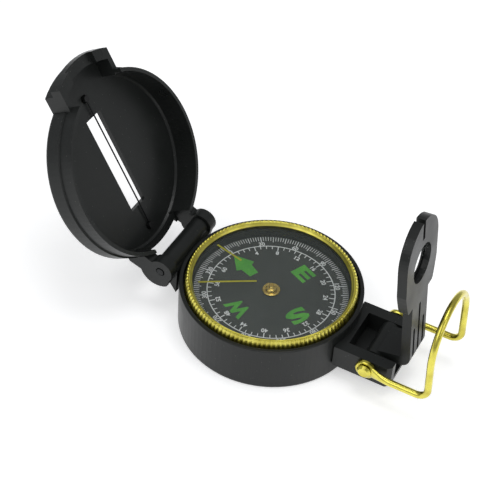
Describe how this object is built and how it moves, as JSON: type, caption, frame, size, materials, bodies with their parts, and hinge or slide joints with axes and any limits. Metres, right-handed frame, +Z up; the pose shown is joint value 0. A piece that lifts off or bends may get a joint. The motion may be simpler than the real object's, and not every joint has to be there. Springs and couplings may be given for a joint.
{
  "type": "sighting compass",
  "caption": "Folding sighting compass: round casing with a turning knurled bezel and card, a hinged slotted cover, a lens arm on a fork and a wire thumb loop.",
  "frame": {"origin": "the middle of the casing's flat bottom, on the object's plane of symmetry", "axes": "+X from the cover's hinge towards the lens arm and thumb loop, +Y across, along the hinge axis, +Z up out of the dial"},
  "size_m": [0.1321, 0.0584, 0.073],
  "materials": {
    "black_plastic": "moulded, fine matt texture",
    "capsule_plastic": "moulded, plain",
    "dial_paint": "matt printed card",
    "yellow_brass": "bright, lacquered greenish yellow",
    "hub_brass": "turned, bright",
    "steel": "drawn, bright",
    "magnet_steel": "ground",
    "gasket_rubber": "moulded",
    "clear_glass": "polished",
    "ruby_jewel": "polished",
    "pale_plug": "pale, unlit luminous paint"
  },
  "bodies": {
    "base": {"casing": "black_plastic", "capsule_cup": "capsule_plastic", "pivot_post": "steel", "capsule_gasket": "gasket_rubber", "capsule_glass": "clear_glass", "wave_spring": "steel", "hinge_pin": "steel", "axle_pin": "yellow_brass"},
    "cover": {"cover": "black_plastic", "sighting_wire": "steel", "wire_plug_front": "pale_plug", "wire_plug_rear": "pale_plug"},
    "eyepiece": {"eyepiece_arm": "black_plastic", "eyepiece_lens": "clear_glass", "lens_clip": "capsule_plastic"},
    "thumb_loop": {"thumb_loop": "yellow_brass"},
    "bezel": {"bezel_ring": "yellow_brass", "bezel_glass": "clear_glass"},
    "card": {"compass_card": "dial_paint", "magnet_east": "magnet_steel", "magnet_west": "magnet_steel", "card_hub": "hub_brass", "pivot_jewel": "ruby_jewel"}
  },
  "joints": [
    {"name": "cover_hinge", "type": "hinge", "parent": "base", "child": "cover", "pos_m": [-0.0314, 0, 0.0166], "axis": [0, 1, 0], "range_deg": [0, 119.2]},
    {"name": "eyepiece_fold", "type": "hinge", "parent": "base", "child": "eyepiece", "pos_m": [0.0378, 0, 0.01], "axis": [0, -1, 0], "range_deg": [0, 84.3]},
    {"name": "loop_swing", "type": "hinge", "parent": "base", "child": "thumb_loop", "pos_m": [0.0378, 0, 0.01], "axis": [0, 1, 0], "range_deg": [-5, 130]},
    {"name": "bezel_turn", "type": "hinge", "parent": "base", "child": "bezel", "pos_m": [0, 0, 0], "axis": [0, 0, 1], "continuous": true},
    {"name": "card_turn", "type": "hinge", "parent": "base", "child": "card", "pos_m": [0, 0, 0], "axis": [0, 0, 1], "continuous": true}
  ]
}
